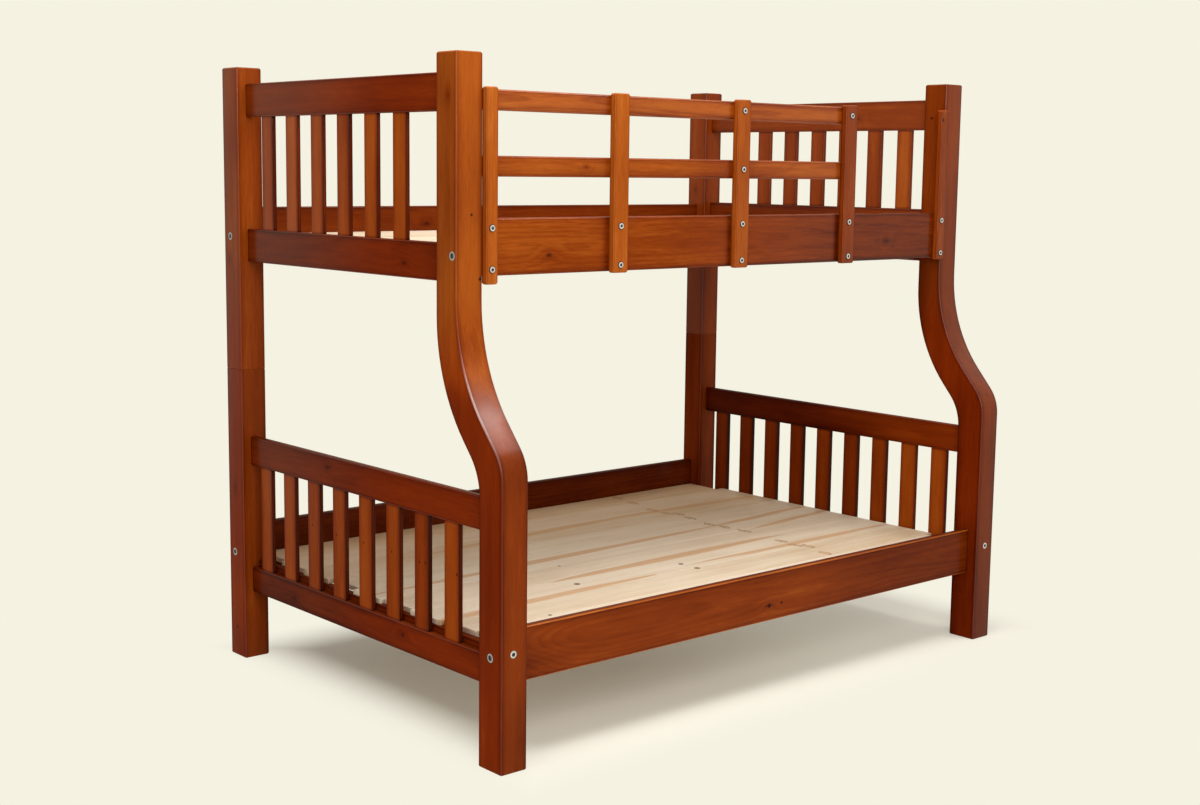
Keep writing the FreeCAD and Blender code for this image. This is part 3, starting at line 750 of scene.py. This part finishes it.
def bolt_rings(head_radius, head_depth, socket, shank_radius, length):
    """The rings of a bolt from the middle of its socket outwards and down to its end: each has its
    radius, its depth below the head's face, how far it is drawn in to a hexagon and how dark it is with
    grease and painted shade, from 0 to 1."""
    return np.array([
        (socket * 0.97, SOCKET_DEPTH, 1.0, 1.0),
        (socket, SOCKET_DEPTH - 0.2 * MM, 1.0, 1.0),
        (socket, 0.5 * MM, 1.0, 1.0),
        (socket + 0.4 * MM, 0.15 * MM, 0.8, 0.9),
        (socket + 0.9 * MM, 0.0, 0.3, 0.0),
        (head_radius - 1.9 * MM, 0.03 * MM, 0.0, 0.0),
        (head_radius - 1.2 * MM, 0.2 * MM, 0.0, 0.2),
        (head_radius - 0.7 * MM, 0.5 * MM, 0.0, 1.0),
        (head_radius, 1.4 * MM, 0.0, 1.0),
        (head_radius, head_depth, 0.0, 1.0),
        (shank_radius, head_depth, 0.0, 0.3),
        (shank_radius, length - 0.8 * MM, 0.0, 0.0),
        (shank_radius - 0.8 * MM, length, 0.0, 0.0)])


def bolt_points(rings, top, ahead):
    """The points of a bolt's rings, then the middle of its socket's floor and of its end.

    A ring is a circle, its radius times cos 30 over cos of the angle from the nearest flat where it is a
    hexagon. top is the middle of the head's face, and ahead the way from the head to the bolt's end."""
    turn = np.linspace(0, 2 * np.pi, BOLT_SIDES, endpoint=False)
    hexagon = np.cos(np.pi / 6) / np.cos(turn % (np.pi / 3) - np.pi / 6)
    side = np.array((0.0, 0.0, 1.0))
    other = np.cross(ahead, side)
    drawn_in = rings[:, 2:3]
    radius = rings[:, :1] * (1 - drawn_in + drawn_in * hexagon)
    points = (top + rings[:, 1][:, None, None] * ahead + (radius * np.cos(turn))[:, :, None] * side
              + (radius * np.sin(turn))[:, :, None] * other).reshape(-1, 3)
    return np.concatenate((points, (top + rings[0, 1] * ahead, top + rings[-1, 1] * ahead)))


def bolt_faces(count, start):
    """Quads between a bolt's rings, as many as count, and a fan of triangles over its socket's floor and
    over its end. start is the number of its first point."""
    ring, step = np.meshgrid(np.arange(count - 1), np.arange(BOLT_SIDES), indexing="ij")
    near = start + ring * BOLT_SIDES + step
    beside = start + ring * BOLT_SIDES + (step + 1) % BOLT_SIDES
    quads = np.stack((near, beside, beside + BOLT_SIDES, near + BOLT_SIDES), axis=-1).reshape(-1, 4)
    last = (count - 1) * BOLT_SIDES
    floor_point = np.full(BOLT_SIDES, start + count * BOLT_SIDES)
    fan_in = np.stack((floor_point, beside[0], near[0]), axis=-1)
    fan_out = np.stack((floor_point + 1, near[0] + last, beside[0] + last), axis=-1)
    return quads.tolist() + fan_in.tolist() + fan_out.tolist()


def bolts(node_name, from_ends, head_radius, head_depth, socket, shank_radius, material):
    """Fine bolts in place of a node's plain ones, one for each of its solids. They come in from their own
    end of the bed, or else from the front."""
    all_points = []
    all_grease_and_shade = []
    all_faces = []
    start = 0
    for low, high in solid_boxes(NODES[node_name]):
        top = (low + high) / 2
        ahead = np.array((0.0, 1.0, 0.0))
        if from_ends:
            ahead = np.array((1.0 if top[0] < 0 else -1.0, 0.0, 0.0))
        axis = int(np.abs(ahead).argmax())
        top[axis] = low[axis] if ahead[axis] > 0 else high[axis]
        rings = bolt_rings(head_radius, head_depth, socket, shank_radius, high[axis] - low[axis])
        points = bolt_points(rings, top, ahead)
        all_points.append(points)
        # How dark each point is with grease and painted shade
        all_grease_and_shade.append(np.concatenate((np.repeat(rings[:, 3], BOLT_SIDES), (1.0, 0.0))))
        all_faces += bolt_faces(len(rings), start)
        start += len(points)
    mesh = bpy.data.meshes.new(node_name + "-finished")
    mesh.from_pydata(np.concatenate(all_points).tolist(), [], all_faces)
    write_attribute(mesh, "grease", "POINT", np.concatenate(all_grease_and_shade))
    mesh.shade_smooth()
    mesh.set_sharp_from_angle(angle=BOLT_SHARP_ANGLE)
    add_object(mesh, node_name, material)


# How each node of stained timber looks: the axis of its grain, its tone, its pith from the middle
# (across, through) and its knots in the frame (along, across, size)
TIMBER = {
    "front_left_curved_post": ("z", 0.38, (0.06, 0.05), ((1.665, -0.456, 0.010),)),
    "front_right_curved_post": ("z", 0.31, (-0.05, 0.06), ((1.66, -0.47, 0.009),)),
    "rear_left_lower_post": ("z", 0.44, (0.05, -0.06), ((0.52, 0.64, 0.010),)),
    "rear_left_upper_post": ("z", 0.49, (-0.06, 0.05), ((1.21, 0.65, 0.009),)),
    "rear_right_lower_post": ("z", 0.29, (0.06, 0.04), ()),
    "rear_right_upper_post": ("z", 0.37, (-0.05, 0.05), ((1.42, 0.64, 0.009),)),
    "left_lower_bottom_rail": ("y", 0.40, (0.01, 0.05), ((-0.21, 0.25, 0.010), (0.35, 0.232, 0.008))),
    "left_lower_top_rail": ("y", 0.40, (-0.01, 0.045), ((0.16, 0.65, 0.009),)),
    "left_upper_bottom_rail": ("y", 0.43, (0.02, 0.05), ((-0.222, 1.243, 0.008),)),
    "left_upper_top_rail": ("y", 0.35, (-0.01, 0.05), ()),
    "right_lower_bottom_rail": ("y", 0.36, (0.01, 0.05), ((0.10, 0.25, 0.009),)),
    "right_lower_top_rail": ("y", 0.48, (-0.01, 0.05), ()),
    "right_upper_bottom_rail": ("y", 0.43, (0.02, 0.05), ((0.31, 1.31, 0.012),)),
    "right_upper_top_rail": ("y", 0.36, (0.0, 0.05), ((-0.10, 1.67, 0.009),)),
    "left_lower_slats": ("z", 0.49, (0.004, 0.03), ()),
    "right_lower_slats": ("z", 0.54, (0.006, -0.03), ()),
    "left_upper_slats": ("z", 0.60, (-0.004, 0.03), ()),
    "right_upper_slats": ("z", 0.45, (0.004, -0.03), ()),
    "lower_front_side_rail": ("x", 0.42, (0.01, 0.04), ((-0.009, 0.261, 0.007), (-0.940, 0.262, 0.033))),
    "lower_rear_side_rail": ("x", 0.27, (-0.01, 0.045), ((-0.42, 0.33, 0.010), (0.37, 0.30, 0.011))),
    "upper_front_side_rail": ("x", 0.53, (-0.01, 0.045), ((-0.702, 1.270, 0.010), (0.649, 1.281, 0.009))),
    "upper_rear_side_rail": ("x", 0.30, (0.01, 0.05), ((-0.30, 1.31, 0.010), (0.55, 1.27, 0.009))),
    "guard_top_rail": ("x", 0.60, (0.004, 0.03), ()),
    "guard_middle_rail": ("x", 0.50, (-0.006, 0.03), ((-0.580, 1.496, 0.006),)),
    "guard_post_1": ("z", 0.64, (0.002, 0.03), ()),
    "guard_post_2": ("z", 0.66, (-0.004, 0.035), ()),
    "guard_post_3": ("z", 0.54, (0.006, 0.03), ()),
    "guard_post_4": ("z", 0.38, (-0.003, 0.03), ()),
    "guard_post_5": ("z", 0.38, (0.003, 0.03), ()),
}
# Soft changes of tone over a node that paint in light and shade, darker towards the back and the right
# and lighter higher up the front posts: axis, from, to and the gain
STEPS = {"upper_front_side_rail": (("x", -0.9, 0.9, -0.22),),
         "lower_front_side_rail": (("x", 0.1, 0.5, -0.09),),
         "front_left_curved_post": (("z", 0.88, 0.99, 0.13), ("z", 1.35, 1.6, 0.03)),
         "front_right_curved_post": (("z", 0.76, 0.86, 0.04), ("z", 1.2, 1.6, 0.04)),
         "left_lower_bottom_rail": (("y", -0.3, 0.2, -0.11),),
         "left_lower_top_rail": (("y", -0.4, 0.4, -0.08),),
         "left_upper_bottom_rail": (("y", -0.4, 0.4, -0.06),),
         "right_lower_top_rail": (("y", -0.35, 0.1, -0.2),),
         "right_lower_slats": (("y", -0.5, 0.5, -0.14),),
         "right_upper_bottom_rail": (("y", -0.5, 0.5, -0.1),),
         "guard_top_rail": (("x", -0.5, 0.5, -0.06),)}
# Cleats under the boards, all stained alike
CLEATS = {}
for cleat_along, sides in (("x", ("front", "rear")), ("y", ("left_end", "right_end"))):
    for bunk in ("lower", "upper"):
        for side in sides:
            CLEATS[f"{bunk}_{side}_cleat"] = cleat_along
# Nail marks in a row low on the slats of the lower left end: Y and Z
NAIL_MARKS = ((0.251, 0.470), (0.122, 0.464), (-0.016, 0.466), (-0.153, 0.466), (-0.284, 0.463),
              (-0.311, 0.466), (-0.449, 0.461))
# Small dark marks: the plane that they lie in, their place in it and their radius
SPOTS = {"left_lower_slats": [("yz", y, z, 3.5 * MM) for y, z in NAIL_MARKS],
         "lower_front_side_rail": [("xz", -0.009, 0.261, 6.5 * MM), ("xz", 0.042, 0.262, 4.5 * MM),
                                   ("xz", -0.020, 0.263, 2.5 * MM)],
         "rear_left_lower_post": [("yz", 0.640, 0.089, 5 * MM)],
         "front_left_curved_post": [("xz", -0.926, 1.216, 5 * MM), ("xz", -0.953, 1.375, 4 * MM)],
         "front_right_curved_post": [("yz", -0.435, 1.666, 5 * MM)],
         "guard_post_5": [("xz", 0.889, 1.658, 6 * MM)]}
GUARD_BOLT_RING = 10.8 * MM
# Soft bands across the grain on the front faces, partly painted shade: place along it, half width and how
# much darker they are
SHADES = {"lower_front_side_rail": [(0.0, 0.2, -0.04)],
          "front_left_curved_post": [(1.05, 0.08, 0.10), (0.76, 0.05, 0.04), (0.08, 0.1, 0.04)],
          "front_right_curved_post": [(1.02, 0.1, 0.03)]}
# How dark the painted shadows of the guard's inner posts are on the rails of the guard and on the rail
# behind it, beside those posts
GUARD_POST_PAINTED_SHADOW = {"upper_front_side_rail": 0.16, "guard_top_rail": 0.07, "guard_middle_rail": 0.07}


def spots_of(node_name):
    """A node's small dark marks, and the dark rings round the bolt heads in a guard post."""
    low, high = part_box(node_name)
    rings = []
    if node_name.startswith("guard_post"):
        for bolt_low, bolt_high in solid_boxes(NODES["guard_bolts"]):
            x, _, z = ((bolt_low + bolt_high) / 2).tolist()
            if low[0] < x < high[0]:
                rings.append(("xz", x, z, GUARD_BOLT_RING))
    return rings + SPOTS.get(node_name, [])


def shades_of(node_name):
    """A node's dark bands, and the painted shadows of the guard's inner posts on the rails beside them.
    """
    bands = list(SHADES.get(node_name, ()))
    if node_name in GUARD_POST_PAINTED_SHADOW:
        depth = GUARD_POST_PAINTED_SHADOW[node_name]
        for number in range(2, 5):
            low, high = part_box(f"guard_post_{number}")
            bands.append((low[0] - 3 * MM, 16 * MM, depth))
            bands.append((high[0] + 2 * MM, 6 * MM, depth))
    return bands


def joinery_of(node_name):
    """How far each end of a node is let into the timber that it joins, and the size of its chamfers."""
    if node_name.endswith("slats"):
        return 12 * MM, 2 * MM
    if node_name.startswith("guard_post"):
        return 0.0, 2 * MM
    if node_name.startswith(("left", "right")):
        return 25 * MM, 3.5 * MM
    return (42 * MM if node_name.endswith("side_rail") else 0.0), 4 * MM


def dress_timber():
    """The stained frame, each node with its own grain."""
    for number, (node_name, (along, tone, pith, knots)) in enumerate(TIMBER.items()):
        low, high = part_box(node_name)
        middle = [(a + b) / 2 for a, b in zip(low, high)]
        first = "xyz".index(along)
        across = 1 if along == "z" else 2
        own = [(a - middle[first], b - middle[across], size) for a, b, size in knots]
        let_in, arris = joinery_of(node_name)
        look = stained_timber(node_name.replace("_", " "), along, number * SEED_STEP + 1.0, tone, pith,
                              knots=own, spots=spots_of(node_name), shades=shades_of(node_name),
                              steps=STEPS.get(node_name, ()), let_in=let_in, arris=arris)
        dress(node_name, look, seed=number)
    looks = {}
    for along in "xy":
        name = "cleats along " + along
        looks[along] = stained_timber(name, along, seed=90.0, tone=0.36, pith=(0.01, 0.03))
    for number, (node_name, along) in enumerate(CLEATS.items()):
        dress(node_name, looks[along], seed=100 + number)


def dress_decks():
    """The pale boards of both decks, their battens and the dowels of the rear posts."""
    marked = pale_pine("boards of the lower deck", "x", seed=5.0, tone=0.57, marked=True)
    plain = pale_pine("boards of the upper deck", "x", seed=11.0, tone=0.46)
    batten = pale_pine("battens", "y", seed=17.0, tone=0.5)
    dowel = pale_pine("dowels", "z", seed=23.0, tone=0.4)
    for number in range(1, LOWER_BOARDS + 1):
        dress(f"lower_deck_board_{number}", marked, 200 + number, BOARD_ROUNDING)
    dress("upper_deck_boards", plain, 220, BOARD_ROUNDING)
    dress("lower_deck_battens", batten, seed=221)
    dress("upper_deck_battens", batten, seed=222)
    dress("rear_post_dowels", dowel, seed=223)


def dress_metal():
    """Fine bolts, and the plain nuts and inserts that lie inside the timber."""
    steel = zinc_steel("zinc steel", 0.0)
    worn_steel = zinc_steel("worn steel", 0.4)
    dull_steel = zinc_steel("dull steel", 1.0)
    bolts("bed_bolts", from_ends=True, head_radius=12.5 * MM, head_depth=3.0 * MM, socket=7.0 * MM,
          shank_radius=4.0 * MM, material=worn_steel)
    bolts("cross_bolts", from_ends=False, head_radius=10.5 * MM, head_depth=3.0 * MM, socket=5.2 * MM,
          shank_radius=4.0 * MM, material=steel)
    bolts("guard_bolts", from_ends=False, head_radius=8.5 * MM, head_depth=2.4 * MM, socket=4.0 * MM,
          shank_radius=3.0 * MM, material=steel)
    for node_name in ("barrel_nuts", "insert_nuts", "guard_inserts"):
        NODES[node_name].data.materials.clear()
        NODES[node_name].data.materials.append(dull_steel)


def make_camera():
    """The camera at the photograph's place, turned by its yaw, pitch and roll."""
    data = bpy.data.cameras.new("camera")
    camera = bpy.data.objects.new("camera", data)
    bpy.context.scene.collection.objects.link(camera)
    data.sensor_width = SENSOR_WIDTH_MM
    data.lens = FOCAL_LENGTH_PX * SENSOR_WIDTH_MM / IMAGE_WIDTH_PX
    data.shift_y = (CENTRE_ROW_PX - IMAGE_HEIGHT_PX / 2) / IMAGE_WIDTH_PX
    yaw, pitch, roll = (math.radians(a) for a in (CAMERA_YAW_DEG, CAMERA_PITCH_DEG, CAMERA_ROLL_DEG))
    ahead = Vector((math.sin(yaw) * math.cos(pitch), math.cos(yaw) * math.cos(pitch), -math.sin(pitch)))
    level = Vector((math.cos(yaw), -math.sin(yaw), 0))
    upright = level.cross(ahead)
    right = level * math.cos(roll) + upright * math.sin(roll)
    up = upright * math.cos(roll) - level * math.sin(roll)
    turn = Matrix((right, up, -ahead)).transposed()
    camera.matrix_world = Matrix.Translation(CAMERA_PLACE) @ turn.to_4x4()
    data.clip_end = 100
    bpy.context.scene.camera = camera


def seen_ray(tree):
    """One where a ray comes straight, or by a mirror or glass, from the camera, and nothing otherwise."""
    path = tree.nodes.new("ShaderNodeLightPath")
    total = path.outputs["Is Camera Ray"]
    for name in ("Is Glossy Ray", "Is Transmission Ray"):
        add = tree.nodes.new("ShaderNodeMath")
        add.operation = "MAXIMUM"
        tree.links.new(total, add.inputs[0])
        tree.links.new(path.outputs[name], add.inputs[1])
        total = add.outputs[0]
    return total


# The floor's half width, and the rectangle, a little inside the bed's feet at the left, front and back,
# beyond which it fades, in X and in Y
FLOOR_REACH = 30.0
SHADED_X = (-0.80, 1.05)
SHADED_Y = (-0.60, 0.56)


def make_floor():
    """A wide pale floor that fades into the background colour from a little inside the bed's feet
    outwards, and glows a little with that colour under the bed as well, more towards the right: painted
    light that lightens the bed's shadow."""
    mesh = bpy.data.meshes.new("floor")
    corners = [(-FLOOR_REACH, -FLOOR_REACH, 0), (FLOOR_REACH, -FLOOR_REACH, 0),
               (FLOOR_REACH, FLOOR_REACH, 0), (-FLOOR_REACH, FLOOR_REACH, 0)]
    mesh.from_pydata(corners, [], [(0, 1, 2, 3)])
    floor = bpy.data.objects.new("floor", mesh)
    bpy.context.scene.collection.objects.link(floor)
    shader = Shader("pale floor")
    shader.set(Base_Color=FLOOR, Roughness=1.0, Specular_IOR_Level=0.0)
    x, y, _ = shader.split(shader.place())
    outside_x = shader.most(SHADED_X[0] - x, x - SHADED_X[1])
    outside_y = shader.most(SHADED_Y[0] - y, y - SHADED_Y[1])
    outside = shader.most(outside_x, outside_y)
    # Painted light: the background colour also lightens the bed's shadow under it, more towards the right
    far = shader.most(shader.smooth(outside, -0.1, 0.26), shader.smooth(x, -0.3, 0.8, 0.13, 0.32))
    far = far * Value(shader, seen_ray(shader.tree))
    glow = shader.node("ShaderNodeEmission", {}, {0: BACKGROUND, 1: 1.0})
    lit = Value(shader, shader.surface.outputs[0])
    blended = shader.node("ShaderNodeMixShader", {}, {0: far, 1: lit, 2: glow})
    shader.feed(shader.tree.nodes["Material Output"].inputs[0], blended)
    mesh.materials.append(shader.material)


WORLD_LIGHT = (1.0, 0.985, 0.95)
WORLD_STRENGTH = 0.55


def make_world():
    """Even pale light, and the background colour where the camera looks past the floor."""
    world = bpy.data.worlds.new("studio")
    bpy.context.scene.world = world
    world.use_nodes = True
    tree = world.node_tree
    tree.nodes.clear()
    seen = tree.nodes.new("ShaderNodeBackground")
    seen.inputs["Color"].default_value = (*BACKGROUND, 1)
    light = tree.nodes.new("ShaderNodeBackground")
    light.inputs["Color"].default_value = (*WORLD_LIGHT, 1)
    light.inputs["Strength"].default_value = WORLD_STRENGTH
    mix = tree.nodes.new("ShaderNodeMixShader")
    out = tree.nodes.new("ShaderNodeOutputWorld")
    tree.links.new(seen_ray(tree), mix.inputs[0])
    tree.links.new(light.outputs[0], mix.inputs[1])
    tree.links.new(seen.outputs[0], mix.inputs[2])
    tree.links.new(mix.outputs[0], out.inputs[0])


def make_lamp(name, place, target, width, height, power):
    """A soft rectangular lamp that faces its target."""
    data = bpy.data.lights.new(name, "AREA")
    data.shape = "RECTANGLE"
    data.size = width
    data.size_y = height
    data.energy = power
    lamp = bpy.data.objects.new(name, data)
    bpy.context.scene.collection.objects.link(lamp)
    lamp.location = place
    lamp.rotation_mode = "QUATERNION"
    lamp.rotation_quaternion = (Vector(target) - Vector(place)).to_track_quat("-Z", "Y")


dress_timber()
dress_decks()
dress_metal()
make_camera()
make_floor()
make_world()
make_lamp("overhead", (-0.9, -0.9, 3.9), target=(0.0, 0.0, 0.0), width=2.6, height=2.2, power=92)
make_lamp("sheen", (1.35, -1.65, 3.8), target=(-0.9, -0.6, 0.9), width=1.0, height=0.8, power=38)
make_lamp("front left", (-2.2, -3.6, 2.5), target=(-0.2, 0.0, 0.8), width=1.8, height=1.4, power=74)

bpy.context.scene.view_settings.view_transform = "Standard"
